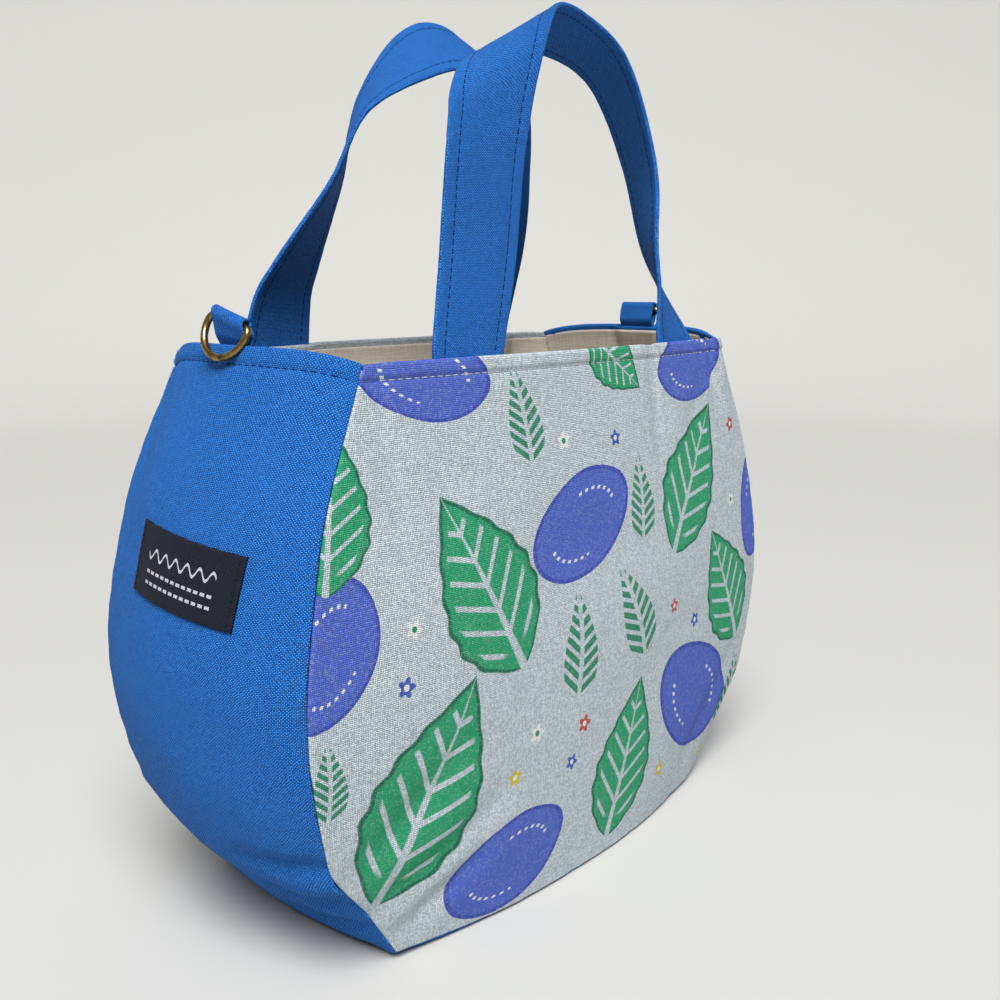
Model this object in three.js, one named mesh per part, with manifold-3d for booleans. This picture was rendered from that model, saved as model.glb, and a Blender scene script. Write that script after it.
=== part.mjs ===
// Small fabric tote bag: printed front and back, one blue strip for gussets and base, a sewn lining,
// two strap handles, and a D-ring on a cloth tab at the middle of each gusset rim.
// Millimetres, +Z up, front toward -Y, origin on the floor under the middle of the bag.
import * as THREE from 'three';
import Module from 'manifold-3d';
import { mergeVertices } from 'three/addons/utils/BufferGeometryUtils.js';

const wasm = await Module();
wasm.setup();

// Heights of the bag body
const rimHeight = 180;
const rimRise = 4;
const shoulderHeight = 130;
const bellyHeight = 85;
const kneeHeight = 42;
const ankleHeight = 20;

// Widths across the front, from corner seam to corner seam
const rimWidth = 185;
const shoulderWidth = 225;
const bellyWidth = 240;
const kneeWidth = 227;
const ankleWidth = 197;
const footWidth = 171;

// Depths across a gusset, from corner seam to corner seam
const rimDepth = 89;
const bellyDepth = 100;
const kneeDepth = 97;
const footDepth = 89;

// How far the middle of a panel or gusset swells past its corner seams
const panelSwellRim = 5;
const panelSwellBelly = 8;
const panelSwellFoot = 10;
const gussetSwellRim = 11;
const gussetSwellBelly = 13;
const gussetSwellFoot = 5;

// Cloth
const outerCloth = 1.2;
const liningCloth = 2.4;
const clothGap = 0.3;
const liningDrop = 3;

// Handles
const strapWidth = 29.5;
const strapThickness = 1.6;
const strapCentre = 52.5;
const frontRightShift = 7;
const strapSewnDepth = 25;
const foldRise = 9;
const straightRise = 4;
const handleRise = 108;

// Ring tabs and D-rings
const tabWidth = 15;
const tabThickness = 1.2;
const tabSewnDepth = 20;
const tabLean = 0.06;
const ringRise = 6.5;
const ringGap = 16;
const ringDepth = 11;
const ringWire = 2.2;
const ringClearance = 0.4;
const eyeLip = 0.2;
const ringDrop = THREE.MathUtils.degToRad(66);
const leftTabTilt = THREE.MathUtils.degToRad(14);

// Label on the left gusset
const labelWidth = 47;
const labelHeight = 19.7;
const labelThickness = 0.8;
const labelMiddle = 121.3;
const labelShift = -5.4;
const labelTilt = THREE.MathUtils.degToRad(4);

const canvasBlue = '#2c62b4';
const printLinen = '#a9b4b8';
const liningIvory = '#b9b3a6';
const labelNavy = '#1b2233';
const antiqueBrass = '#8c7440';

// Smooth curve through a few (at, value) pairs, carried on in a straight line past both ends
function smooth(pairs) {
  const last = pairs.length - 1;
  const slope = (i) => (pairs[i + 1][1] - pairs[i][1]) / (pairs[i + 1][0] - pairs[i][0]);
  const tangent = pairs.map((_, i) => {
    if (i === 0) return slope(0);
    if (i === last) return slope(last - 1);
    const before = slope(i - 1);
    const after = slope(i);
    return before * after <= 0 ? 0 : 2 * before * after / (before + after);
  });
  return (at) => {
    if (at <= pairs[0][0]) return pairs[0][1] + tangent[0] * (at - pairs[0][0]);
    if (at >= pairs[last][0]) return pairs[last][1] + tangent[last] * (at - pairs[last][0]);
    const i = pairs.findIndex((pair) => pair[0] >= at) - 1;
    const span = pairs[i + 1][0] - pairs[i][0];
    const f = (at - pairs[i][0]) / span;
    const rise = pairs[i + 1][1] - pairs[i][1];
    const ease = f * f * (3 - 2 * f);
    const bend = f * (1 - f) * span * ((1 - f) * tangent[i] - f * tangent[i + 1]);
    return pairs[i][1] + rise * ease + bend;
  };
}

const halfWidth = smooth([
  [0, footWidth / 2], [ankleHeight, ankleWidth / 2], [kneeHeight, kneeWidth / 2],
  [bellyHeight, bellyWidth / 2], [shoulderHeight, shoulderWidth / 2], [rimHeight, rimWidth / 2],
]);
const halfDepth = smooth([
  [0, footDepth / 2], [kneeHeight, kneeDepth / 2], [bellyHeight, bellyDepth / 2],
  [rimHeight, rimDepth / 2],
]);
const panelSwell = smooth([
  [0, panelSwellFoot], [bellyHeight, panelSwellBelly], [rimHeight, panelSwellRim],
]);
const gussetSwell = smooth([
  [0, gussetSwellFoot], [bellyHeight, gussetSwellBelly], [rimHeight, gussetSwellRim],
]);

// Each seam leaves half of the cloth gap on both of its mitred edges
const seamGap = clothGap / Math.SQRT2;

// Point of a front (side -1) or back (side 1) panel: x as given, z on the seam, inset from the outside
function panelPoint(side, x, z, inset) {
  const s = x / (halfWidth(z) - inset);
  const y = halfDepth(z) - inset + panelSwell(z) * (1 - s * s);
  return new THREE.Vector3(x, side * y, z + inset * (1 - z / rimHeight));
}

// Point of a left (side -1) or right (side 1) gusset: y as given, z on the seam, inset from the outside
function gussetPoint(side, y, z, inset) {
  const t = y / (halfDepth(z) - inset);
  const x = halfWidth(z) - inset + gussetSwell(z) * (1 - t * t);
  const lift = rimRise * (z / rimHeight) ** 4 * (1 - t * t);
  return new THREE.Vector3(side * x, y, z + lift + inset * (1 - z / rimHeight));
}

// Point of the base: along runs -1 to 1 from left to right, across runs -1 to 1 from front to back
function basePoint(along, across, inset) {
  const x = along * (halfWidth(0) - inset + gussetSwell(0) * (1 - across * across));
  const y = across * (halfDepth(0) - inset - seamGap + panelSwell(0) * (1 - along * along));
  return new THREE.Vector3(x, y, inset);
}

function steps(from, to, count) {
  return Array.from({ length: count + 1 }, (_, i) => from + (to - from) * i / count);
}

// Heights of the rows of a wall, closer together round the lower corner
function wallRows(top) {
  const low = steps(0, kneeHeight, 6);
  const high = steps(kneeHeight, top, 10);
  return low.concat(high.slice(1));
}

// Closed solid between two faces that share one grid of stations
function slab(faceA, faceB, us, vs) {
  const rows = us.length;
  const columns = vs.length;
  const position = [];
  for (const face of [faceA, faceB]) {
    for (const u of us) {
      for (const v of vs) position.push(...face(u, v).toArray());
    }
  }
  const at = (side, i, j) => side * rows * columns + i * columns + j;
  const index = [];
  const quad = (a, b, c, d) => index.push(a, b, c, a, c, d);
  for (let i = 0; i < rows - 1; i += 1) {
    for (let j = 0; j < columns - 1; j += 1) {
      quad(at(0, i, j), at(0, i + 1, j), at(0, i + 1, j + 1), at(0, i, j + 1));
      quad(at(1, i, j), at(1, i, j + 1), at(1, i + 1, j + 1), at(1, i + 1, j));
    }
    const end = columns - 1;
    quad(at(0, i, 0), at(1, i, 0), at(1, i + 1, 0), at(0, i + 1, 0));
    quad(at(0, i, end), at(0, i + 1, end), at(1, i + 1, end), at(1, i, end));
  }
  for (let j = 0; j < columns - 1; j += 1) {
    const end = rows - 1;
    quad(at(0, 0, j), at(0, 0, j + 1), at(1, 0, j + 1), at(1, 0, j));
    quad(at(0, end, j), at(1, end, j), at(1, end, j + 1), at(0, end, j + 1));
  }
  return outward(position, index);
}

// Geometry from shared vertices, with its triangles turned so that they face out
function outward(position, index) {
  let volume = 0;
  const corner = (k) => new THREE.Vector3().fromArray(position, 3 * index[k]);
  for (let k = 0; k < index.length; k += 3) {
    volume += corner(k).dot(corner(k + 1).cross(corner(k + 2)));
  }
  const turned = volume < 0 ? index.slice().reverse() : index;
  const geometry = new THREE.BufferGeometry();
  geometry.setAttribute('position', new THREE.Float32BufferAttribute(position, 3));
  geometry.setIndex(turned);
  return geometry;
}

function toSolid(geometry) {
  const bare = geometry.clone();
  bare.deleteAttribute('normal');
  bare.deleteAttribute('uv');
  const merged = mergeVertices(bare, 1e-4);
  const vertProperties = new Float32Array(merged.attributes.position.array);
  const triVerts = new Uint32Array(merged.index.array);
  return new wasm.Manifold(new wasm.Mesh({ numProp: 3, vertProperties, triVerts }));
}

function fromSolid(solid) {
  const mesh = solid.getMesh();
  const geometry = new THREE.BufferGeometry();
  geometry.setAttribute('position', new THREE.BufferAttribute(mesh.vertProperties, 3));
  geometry.setIndex(new THREE.BufferAttribute(mesh.triVerts, 1));
  return geometry;
}

function cut(geometry, cutters) {
  return fromSolid(cutters.reduce((left, cutter) => left.subtract(toSolid(cutter)), toSolid(geometry)));
}

const bag = new THREE.Group();

function addMesh(parent, name, geometry, color, roughness, metalness) {
  const material = new THREE.MeshStandardMaterial({ color, roughness, metalness });
  const mesh = new THREE.Mesh(geometry, material);
  mesh.name = name;
  parent.add(mesh);
  return mesh;
}

// Front or back wall between two insets: its edges stop at the corner seams and just above the base seam
function panelWall(side, outer, inner, top) {
  const face = (inset) => (z, s) => {
    const point = panelPoint(side, s * (halfWidth(z) - inset), z, inset);
    point.x = s * (halfWidth(z) - inset - seamGap);
    point.z += seamGap * (1 - z / rimHeight);
    return point;
  };
  return slab(face(outer), face(inner), wallRows(top), steps(-1, 1, 16));
}

// Gussets and base in one strip: down the left gusset, along the base and up the right one
function sideStrip(outer, inner, top) {
  const walls = wallRows(top);
  const base = steps(-1, 1, 12).slice(1, -1);
  const stations = [
    ...walls.map((z) => ({ side: -1, z })).reverse(),
    ...base.map((along) => ({ along })),
    ...walls.map((z) => ({ side: 1, z })),
  ];
  const face = (inset) => (i, across) => {
    const { side, z, along } = stations[i];
    if (side === undefined) return basePoint(along, across, inset);
    const point = gussetPoint(side, across * (halfDepth(z) - inset), z, inset);
    point.y = across * (halfDepth(z) - inset - seamGap);
    return point;
  };
  return slab(face(outer), face(inner), stations.map((_, i) => i), steps(-1, 1, 10));
}

// Outer cloth
addMesh(bag, 'front_panel', panelWall(-1, 0, outerCloth, rimHeight), printLinen, 0.85, 0);
addMesh(bag, 'back_panel', panelWall(1, 0, outerCloth, rimHeight), printLinen, 0.85, 0);
addMesh(bag, 'side_strip', sideStrip(0, outerCloth, rimHeight), canvasBlue, 0.85, 0);

// Handle ends, sewn between the outer cloth and the lining and standing up to the line where the strap folds
const sewnInset = outerCloth + clothGap;
const foldHeight = rimHeight + foldRise;
const foldInset = sewnInset + strapThickness / 2;
const foldY = Math.abs(panelPoint(-1, strapCentre, foldHeight, foldInset).y);
const endTop = foldHeight - clothGap / 2;

function strapEndPoint(side, x, z, inset) {
  const onPanel = panelPoint(side, x, z, inset);
  const upright = side * (foldY + foldInset - inset);
  const free = THREE.MathUtils.smoothstep(z, rimHeight, foldHeight);
  return new THREE.Vector3(x, THREE.MathUtils.lerp(onPanel.y, upright, free), onPanel.z);
}

function strapFoot(side, hand) {
  const shift = side < 0 && hand > 0 ? frontRightShift : 0;
  return hand * strapCentre + shift;
}

function strapEnd(side, hand, margin, top) {
  const half = strapWidth / 2 + margin;
  const centre = strapFoot(side, hand);
  const face = (inset) => (z, v) => strapEndPoint(side, centre + v * half, z, inset);
  const sewn = steps(rimHeight - strapSewnDepth - margin, rimHeight, 5);
  const rows = sewn.concat(steps(rimHeight, top, 4).slice(1));
  return slab(face(sewnInset - margin), face(sewnInset + strapThickness + margin), rows, steps(-1, 1, 6));
}

const sides = [[-1, 'front'], [1, 'back']];
const hands = [[-1, 'left'], [1, 'right']];

for (const [side, name] of sides) {
  for (const [hand, handName] of hands) {
    const end = strapEnd(side, hand, 0, endTop);
    addMesh(bag, `${name}_strap_end_${handName}`, end, canvasBlue, 0.85, 0);
  }
}

// Ring tabs: a strip of canvas folded over the bar of its ring, with both ends sewn into the gusset rim
const tabTop = rimHeight + ringRise;
const eyeInner = ringWire / 2 + ringClearance;
const eyeOuter = eyeInner + tabThickness * 0.7;

function tabPoint(side, y, z, inset, tilt) {
  const point = gussetPoint(side, y, Math.min(z, rimHeight), inset);
  const above = Math.max(z - rimHeight, 0);
  point.x += side * tabLean * above * above / 2;
  point.z += above + y * Math.tan(tilt) * Math.min(above / ringRise, 1);
  return point;
}

function tabStem(side, tilt, margin) {
  const half = tabWidth / 2 + margin;
  const face = (inset) => (z, v) => tabPoint(side, v * half, z, inset, tilt);
  const sewn = steps(rimHeight - tabSewnDepth - margin, rimHeight, 4);
  const rows = sewn.concat(steps(rimHeight, tabTop - eyeInner - eyeLip, 4).slice(1));
  return slab(face(sewnInset - margin), face(sewnInset + tabThickness + margin), rows, steps(-1, 1, 6));
}

function tabEye() {
  const outline = new THREE.Shape().absarc(0, 0, eyeOuter, 0, 2 * Math.PI);
  outline.holes.push(new THREE.Path().absarc(0, 0, eyeInner, 0, 2 * Math.PI, true));
  const length = { depth: tabWidth, bevelEnabled: false, curveSegments: 12 };
  const eye = new THREE.ExtrudeGeometry(outline, length);
  return eye.translate(0, 0, -tabWidth / 2).rotateX(Math.PI / 2);
}

// Wire ring: a straight bar along Y at x = 0 and a bow reaching out to x = ringDepth
function dRing() {
  const half = (ringGap + ringWire) / 2;
  const bend = ringWire;
  const outline = new THREE.Shape();
  outline.moveTo(0, -half + bend);
  outline.lineTo(0, half - bend);
  outline.quadraticCurveTo(0, half, bend, half);
  outline.absellipse(bend, 0, ringDepth - bend, half, Math.PI / 2, -Math.PI / 2, true);
  outline.quadraticCurveTo(0, -half, 0, -half + bend);
  const centres = outline.getSpacedPoints(36).slice(0, -1);
  const count = centres.length;
  const wireSides = 8;
  const position = [];
  const index = [];
  centres.forEach((centre, i) => {
    const along = centres[(i + 1) % count].clone().sub(centres[(i + count - 1) % count]).normalize();
    for (let k = 0; k < wireSides; k += 1) {
      const angle = 2 * Math.PI * k / wireSides;
      const reach = Math.cos(angle) * ringWire / 2;
      position.push(centre.x + along.y * reach, centre.y - along.x * reach, Math.sin(angle) * ringWire / 2);
      const a = i * wireSides + k;
      const b = i * wireSides + (k + 1) % wireSides;
      const c = (a + wireSides) % (count * wireSides);
      const d = (b + wireSides) % (count * wireSides);
      index.push(a, b, d, a, d, c);
    }
  });
  return outward(position, index);
}

const tabTilts = { left: leftTabTilt, right: 0 };
for (const [hand, name] of hands) {
  const tilt = tabTilts[name];
  const middle = tabPoint(hand, 0, tabTop, sewnInset + tabThickness / 2, tilt);
  const eye = tabEye().rotateX(tilt).translate(middle.x, middle.y, middle.z);
  const tab = toSolid(tabStem(hand, tilt, 0)).add(toSolid(eye));
  addMesh(bag, `${name}_ring_tab`, fromSolid(tab), canvasBlue, 0.85, 0);
  const pivot = new THREE.Group();
  pivot.position.copy(middle);
  pivot.rotation.x = tilt;
  bag.add(pivot);
  const ring = addMesh(pivot, `${name}_d_ring`, dRing(), antiqueBrass, 0.35, 1);
  ring.rotation.y = hand < 0 ? Math.PI - ringDrop : ringDrop;
}

// Lining with its wadding, pocketed on the outside for the sewn ends of the straps and tabs
const liningOuter = outerCloth + clothGap;
const liningInner = liningOuter + liningCloth;
const liningTop = rimHeight - liningDrop;
for (const [side, name] of sides) {
  const wall = panelWall(side, liningOuter, liningInner, liningTop);
  const pockets = hands.map(([hand]) => strapEnd(side, hand, clothGap, rimHeight + clothGap));
  addMesh(bag, `${name}_lining`, cut(wall, pockets), liningIvory, 0.9, 0);
}
const tabPockets = hands.map(([hand, name]) => tabStem(hand, tabTilts[name], clothGap));
const liningStrip = cut(sideStrip(liningOuter, liningInner, liningTop), tabPockets);
addMesh(bag, 'side_lining', liningStrip, liningIvory, 0.9, 0);

// Handles: straps that leave the fold lines lying flat on the panel and turn edge-on over the top.
// Each place is [x, y, share of the handle's rise, turn of the width from the panel in degrees, its slope].
// The front strap folds over slantwise at the top of its left leg, where the slope is steep.
const handles = {
  front: {
    side: -1,
    endTurns: [1, 165],
    places: [
      [-46, -43.5, 0.28, 6, 0], [-42, -44, 0.6, 8, 0.1], [-35, -42, 0.775, 16, 0.55],
      [-13.5, -30, 0.905, 75, 0.42], [11.5, -27, 0.94, 116, 0.2], [38, -27, 0.865, 119, 0.1],
      [55.5, -30, 0.58, 123, 0], [56, -35, 0.31, 136, 0], [57, -39, 0.185, 146, 0],
    ],
  },
  back: {
    side: 1,
    endTurns: [6, 170],
    places: [
      [-51, 42, 0.165, 13, 0], [-48, 38, 0.26, 23, 0], [-39, 28, 0.49, 44, 0],
      [-32.5, 19, 0.74, 56, 0.25], [-6, 12, 0.925, 75, 0.8], [22, 12, 0.89, 95, 0.6],
      [37, 25, 0.545, 115, 0],
    ],
  },
};
const leastSlant = 0.8;

function handleStrap({ side, endTurns, places }) {
  const foot = (hand) => {
    return new THREE.Vector3(strapFoot(side, hand), side * foldY, foldHeight + clothGap / 2);
  };
  const step = new THREE.Vector3(0, 0, straightRise);
  const between = places.map(([x, y, share]) => new THREE.Vector3(x, y, rimHeight + share * handleRise));
  const points = [foot(-1), foot(-1).add(step), ...between, foot(1).add(step), foot(1)];
  const path = new THREE.CatmullRomCurve3(points);
  const last = points.length - 1;
  const turns = [0, endTurns[0], ...places.map((place) => place[3]), endTurns[1], 180];
  const slopes = [0, 0, ...places.map((place) => place[4]), 0, 0];
  const turn = smooth(turns.map((angle, i) => [i / last, THREE.MathUtils.degToRad(angle)]));
  const slope = smooth(slopes.map((value, i) => [i / last, value]));
  const face = (sign) => (u, v) => {
    const t = path.getUtoTmapping(u);
    const along = path.getTangent(t);
    const across = new THREE.Vector3(Math.cos(turn(t)), side * Math.sin(turn(t)), slope(t)).normalize();
    const out = across.clone().cross(along);
    across.divideScalar(Math.max(out.length(), leastSlant));
    out.normalize().multiplyScalar(sign * strapThickness / 2);
    return path.getPoint(t).addScaledVector(across, v * strapWidth / 2).add(out);
  };
  return slab(face(1), face(-1), steps(0, 1, 48), steps(-1, 1, 4));
}

for (const [name, handle] of Object.entries(handles)) {
  addMesh(bag, `${name}_handle`, handleStrap(handle), canvasBlue, 0.85, 0);
}

// Label lying on the left gusset, a little askew
function labelFace(inset) {
  return (rise, along) => {
    const y = labelShift + along * Math.cos(labelTilt) - rise * Math.sin(labelTilt);
    const z = labelMiddle + rise * Math.cos(labelTilt) + along * Math.sin(labelTilt);
    return gussetPoint(-1, y, z, inset);
  };
}
const labelRows = steps(-labelHeight / 2, labelHeight / 2, 4);
const labelColumns = steps(-labelWidth / 2, labelWidth / 2, 8);
const label = slab(labelFace(-clothGap), labelFace(-clothGap - labelThickness), labelRows, labelColumns);
addMesh(bag, 'woven_label', label, labelNavy, 0.8, 0);

export default bag;
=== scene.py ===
import math
import bmesh
import bpy
from mathutils import Matrix, Vector, noise


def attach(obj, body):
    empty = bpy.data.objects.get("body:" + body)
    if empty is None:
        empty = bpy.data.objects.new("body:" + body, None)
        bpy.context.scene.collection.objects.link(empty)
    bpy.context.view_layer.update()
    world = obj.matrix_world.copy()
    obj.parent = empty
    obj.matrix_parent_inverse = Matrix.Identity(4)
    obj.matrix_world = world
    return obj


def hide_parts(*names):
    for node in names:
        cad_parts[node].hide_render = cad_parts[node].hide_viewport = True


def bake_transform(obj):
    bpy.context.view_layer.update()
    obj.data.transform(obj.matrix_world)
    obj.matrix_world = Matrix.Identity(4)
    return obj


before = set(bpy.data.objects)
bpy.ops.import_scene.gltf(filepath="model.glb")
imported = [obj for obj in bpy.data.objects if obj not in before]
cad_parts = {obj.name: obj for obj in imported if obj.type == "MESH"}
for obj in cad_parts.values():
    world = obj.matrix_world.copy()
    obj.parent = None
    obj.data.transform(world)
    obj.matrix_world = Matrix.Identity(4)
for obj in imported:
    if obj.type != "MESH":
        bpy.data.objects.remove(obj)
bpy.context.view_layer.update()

# Printed panels
# The front and back are cut from slubby linen with a leaf print and backed with wadding. They are sewn to
# the side strip with the seams turned in, and at the mouth the cloth rolls over the rim and down inside.

mm = 0.001
rim = 180.0
rim_roll = 0.75
rolled_in = 3.0
cloth_thick = 0.45
seam_bend = 0.7
seam_lift = 2.4
flat_span = 800.0
stitch_drop = 4.6
roll_end = rim + 1.2
strap_half = 14.75
strap_room = 3.0
linen_pitch = 0.56


def smooth_curve(pairs):
    """Smooth curve through a few (height, size) pairs, straight past both ends."""
    last = len(pairs) - 1
    slopes = [(b[1] - a[1]) / (b[0] - a[0]) for a, b in zip(pairs, pairs[1:])]
    lean = [slopes[0]]
    for before, after in zip(slopes, slopes[1:]):
        lean.append(0 if before * after <= 0 else 2 * before * after / (before + after))
    lean.append(slopes[-1])

    def size(at):
        if at <= pairs[0][0]:
            return pairs[0][1] + lean[0] * (at - pairs[0][0])
        if at >= pairs[last][0]:
            return pairs[last][1] + lean[last] * (at - pairs[last][0])
        i = next(k for k in range(last) if pairs[k + 1][0] >= at)
        span = pairs[i + 1][0] - pairs[i][0]
        f = (at - pairs[i][0]) / span
        rise = pairs[i + 1][1] - pairs[i][1]
        bend = f * (1 - f) * span * ((1 - f) * lean[i] - f * lean[i + 1])
        return pairs[i][1] + rise * f * f * (3 - 2 * f) + bend

    return size


half_width = smooth_curve([(0, 85.5), (20, 98.5), (42, 113.5), (85, 120), (130, 112.5), (rim, 92.5)])
half_depth = smooth_curve([(0, 44.5), (42, 48.5), (85, 50), (rim, 44.5)])
panel_swell = smooth_curve([(0, 10), (85, 8), (rim, 5)])


def ease(low, high, at):
    f = min(max((at - low) / (high - low), 0), 1)
    return f * f * (3 - 2 * f)


def span(start, stop, count):
    return [start + (stop - start) * k / count for k in range(count + 1)]


def ripple(x, y, z):
    return noise.noise(Vector((x, y, z)))


def seam_turn(d):
    """Where cloth lies d from its seam: how far along from the corner, and how deep it has turned in."""
    turn = math.radians(120)
    reach = seam_bend / math.tan(math.radians(30))
    if d >= turn * seam_bend:
        return reach + d - turn * seam_bend, 0.0
    a = min(turn - d / seam_bend, turn)
    inward = max(-d, 0)
    along = reach - seam_bend * math.sin(a) - inward * math.cos(turn)
    return along, seam_bend - seam_bend * math.cos(a) + inward * math.sin(turn)


seam_steps = [-2.2, -1.0, 0, 0.2, 0.45, 0.7, 0.95, 1.2, 1.47, 2.2, 3.4, 5, 7, 9.5]
seam_margin = 12.0


def across_stations(count):
    """Stations across a cloth: pairs of a side and a distance from its seam, then shares of the middle."""
    left = [(-1, d) for d in seam_steps]
    middle = [(s, None) for s in span(-1, 1, count)]
    right = [(1, d) for d in reversed(seam_steps)]
    return left + middle + right


def along_seam(station, half, slant=1.0, flat=0.0, tuck=1.0):
    """Offset from the middle of a cloth of that half width, and how deep its seam turns it in."""
    s, d = station
    if d is None:
        return s * (half - seam_margin), 0.0
    along, deep = seam_turn(d * tuck if d < 0 else d)
    along += (max(d, 0.02 * (d + 2.2)) - along) * flat
    return s * (half - along * slant), deep * (1 - flat)


def seam_tuck(z):
    """Share of the seam's turning that is left: it is trimmed near the rim, where the lining lies close."""
    return 1 - 0.5 * ease(rim - 34, rim - 16, z)


def toward_corner(s):
    """Share of the base seam's lift: small at the middle of a seam and full at its ends."""
    return 0.15 + 0.85 * s ** 4


def panel_face(x, z, side):
    s = x / half_width(z)
    lift = seam_lift * (1 - z / rim) * toward_corner(s)
    return Vector((x, side * (half_depth(z) + panel_swell(z) * (1 - s * s)), z + lift))


def rolled_cloth(face, u, h, side, turned):
    """Point of cloth at height h along it, past the rim where it rolls inward, and the way it faces."""
    edge = rim - rim_roll
    z = min(h, edge)
    up = (face(u, z + 0.5, side) - face(u, z - 0.5, side)).normalized()
    out = (face(u + 0.5, z, side) - face(u - 0.5, z, side)).cross(up).normalized() * turned
    a = min(max((h - edge) / rim_roll, 0), math.pi)
    down = max(h - edge - math.pi * rim_roll, 0)
    spot = face(u, z, side) + up * (rim_roll * math.sin(a) - down)
    spot -= out * (rim_roll - rim_roll * math.cos(a))
    return spot, out * math.cos(a) + up * math.sin(a)


def rim_relief(h, along):
    """The turned rim is fuller than the wall, and its row of stitches draws it in."""
    drop = rim - h
    full = 0.45 * ease(-2, 0.6, drop) * (1 - ease(stitch_drop - 1.4, stitch_drop, drop))
    drawn = 0.3 * math.exp(-((drop - stitch_drop) / 0.8) ** 2)
    pucker = 0.22 * ripple(along / 3.1, 5, 2) * math.exp(-(((drop - 7) / 6) ** 2))
    return full - drawn + pucker


def crease(x, z, start, end, wide, deep):
    """A pulled fold in the cloth, deepest along the line from start to end."""
    a, b, p = Vector(start), Vector(end), Vector((x, z))
    f = min(max((p - a).dot(b - a) / (b - a).length_squared, 0), 1)
    away = (p - a - (b - a) * f).length
    return -deep * math.sin(math.pi * (0.12 + 0.76 * f)) * math.exp(-((away / wide) ** 2))


# Pulled folds: the two ends of each on its cloth, its width and its depth
front_creases = [
    ((38, 186), (42, 132), 4.0, 1.5),
    ((49, 186), (53, 140), 3.5, -1.0),
    ((62, 186), (68, 140), 4.0, 1.6),
    ((75, 190), (79, 158), 2.8, -0.9),
    ((81, 190), (87, 152), 3.5, 1.3),
    ((88, 186), (97, 146), 3.5, -1.2),
    ((-96, 20), (-48, 44), 5.0, 2.1),
    ((-86, 8), (-54, 28), 4.0, 2.2),
    ((-104, 36), (-66, 66), 6.0, 1.8),
    ((66, 14), (100, 50), 6.0, 1.4),
    ((-92, 184), (-84, 136), 4.5, 1.1),
    ((-30, 120), (30, 108), 14.0, 0.9),
    ((20, 60), (80, 84), 14.0, 0.9),
]
strap_feet = {"front": (-52.5, 59.5), "back": (-52.5, 52.5)}


def slot_at(off, half):
    """1 where something is sewn in behind the outer cloth, and 0 from 5 mm beside it."""
    return 1 - ease(half, half + 5, abs(off))


def strap_slot(x, side):
    return max(slot_at(x - foot, strap_half) for foot in strap_feet["front" if side < 0 else "back"])


def panel_relief(x, z, side):
    beside = half_width(z) - abs(x)
    soft = 0.8 * ripple(x / 46, z / 52, 3 * side) + 0.25 * ripple(x / 17, z / 21, 7 + side)
    pucker = 0.4 * ripple(7 * side + math.copysign(3, x), z / 6.5, 1) * math.exp(-beside / 6)
    foot = 0.4 * ripple(x / 7, 11, side) * math.exp(-z / 6)
    mirrored = x if side < 0 else -x
    folds = sum(crease(mirrored, z, *line) for line in front_creases)
    folds *= 1 - strap_slot(x, side) * ease(rim - 32, rim - 16, z)
    return (soft * ease(0, 12, beside) + pucker + foot) * (1 - ease(rim - 4, rim, z)) + folds


def panel_spot(u, v, side):
    z, deep_z = (v[0], 0.0) if v[1] is None else seam_turn(v[1])
    x, deep = along_seam(u, half_width(min(z, rim)), 1.0, ease(rim - rim_roll, roll_end, z), seam_tuck(z))
    spot, out = rolled_cloth(panel_face, x, z, side, -side)
    relief = panel_relief(x, min(z, rim), side) * (1 - ease(rim, roll_end, z)) + rim_relief(z, x)
    aside = Vector((0, -side * strap_room * strap_slot(x, side) * ease(rim + 0.2, rim + 1.6, z), 0))
    return spot + out * (relief - max(deep, deep_z)) + aside, out, (x, z)


def cloth_sheet(name, us, vs, place):
    """Cloth with a vertex for each pair of stations, which keeps its flat measure as a UV map."""
    bpy.ops.object.select_all(action="DESELECT")
    bpy.ops.mesh.primitive_grid_add(x_subdivisions=len(us) - 1, y_subdivisions=len(vs) - 1, size=2)
    cloth = bpy.context.object
    cloth.name = cloth.data.name = name
    flat = {}
    for vertex in cloth.data.vertices:
        i = round((vertex.co.x + 1) / 2 * (len(us) - 1))
        j = round((vertex.co.y + 1) / 2 * (len(vs) - 1))
        spot, _, flat[vertex.index] = place(us[i], vs[j])
        vertex.co = spot * mm
    uv = cloth.data.uv_layers.active.data
    for loop in cloth.data.loops:
        u, v = flat[loop.vertex_index]
        uv[loop.index].uv = (u / flat_span + 0.5, v / flat_span + 0.5)
    bpy.ops.object.shade_smooth()
    return cloth


def thicken(cloth, thick):
    bpy.context.view_layer.objects.active = cloth
    wall = cloth.modifiers.new("cloth", "SOLIDIFY")
    wall.thickness = thick * mm
    wall.offset = -1
    bpy.ops.object.modifier_apply(modifier=wall.name)


rim_rows = [rim - rim_roll + rim_roll * math.pi * k / 8 for k in range(1, 9)]
inner_rows = [rim_rows[-1] + d for d in (0.7, 1.5, rolled_in - rim_roll)]
wall_rows = span(seam_margin, rim - 12, 76)[:-1] + span(rim - 12, rim - rim_roll, 20)
panel_rows = [(0, d) for d in seam_steps] + [(h, None) for h in wall_rows + rim_rows + inner_rows]

panels = {}
for side, name in ((-1, "front"), (1, "back")):
    stations = across_stations(110)[::-side]
    panels[name] = cloth_sheet(
        f"printed_{name}", stations, panel_rows, lambda u, v, s=side: panel_spot(u, v, s)
    )
    thicken(panels[name], cloth_thick)


def colour(code):
    """Linear colour of a six-digit screen colour."""
    parts = [int(code[k:k + 2], 16) / 255 for k in (0, 2, 4)]
    return tuple(c / 12.92 if c < 0.04045 else ((c + 0.055) / 1.055) ** 2.4 for c in parts) + (1,)


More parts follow.
